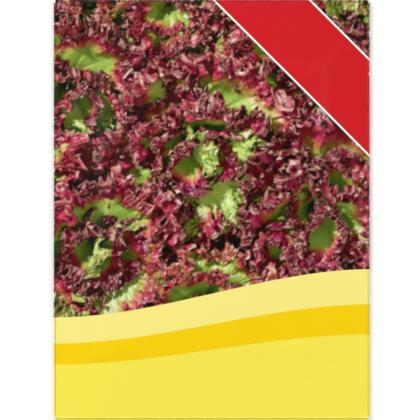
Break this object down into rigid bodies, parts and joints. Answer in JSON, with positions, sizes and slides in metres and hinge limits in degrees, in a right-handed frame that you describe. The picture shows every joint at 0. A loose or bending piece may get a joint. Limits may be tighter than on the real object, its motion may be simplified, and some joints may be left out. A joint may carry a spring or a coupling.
{
  "type": "seed packet",
  "caption": "Sealed flat paper seed packet with folded end flaps and a lapped back seam, holding a foil sachet of lettuce seeds.",
  "frame": {"origin": "under the middle of the packet, on the surface that it lies on", "axes": "+X to the right across the front, +Y up the front towards the closing flap's end, +Z out of the front"},
  "size_m": [0.12, 0.16, 0.0058],
  "materials": {
    "printed_paper": "satin",
    "foil": "satin",
    "seed": "matte"
  },
  "bodies": {
    "root": {"envelope": "printed_paper", "sachet_back": "foil", "sachet_front": "foil", "seeds": "seed"}
  },
  "joints": []
}
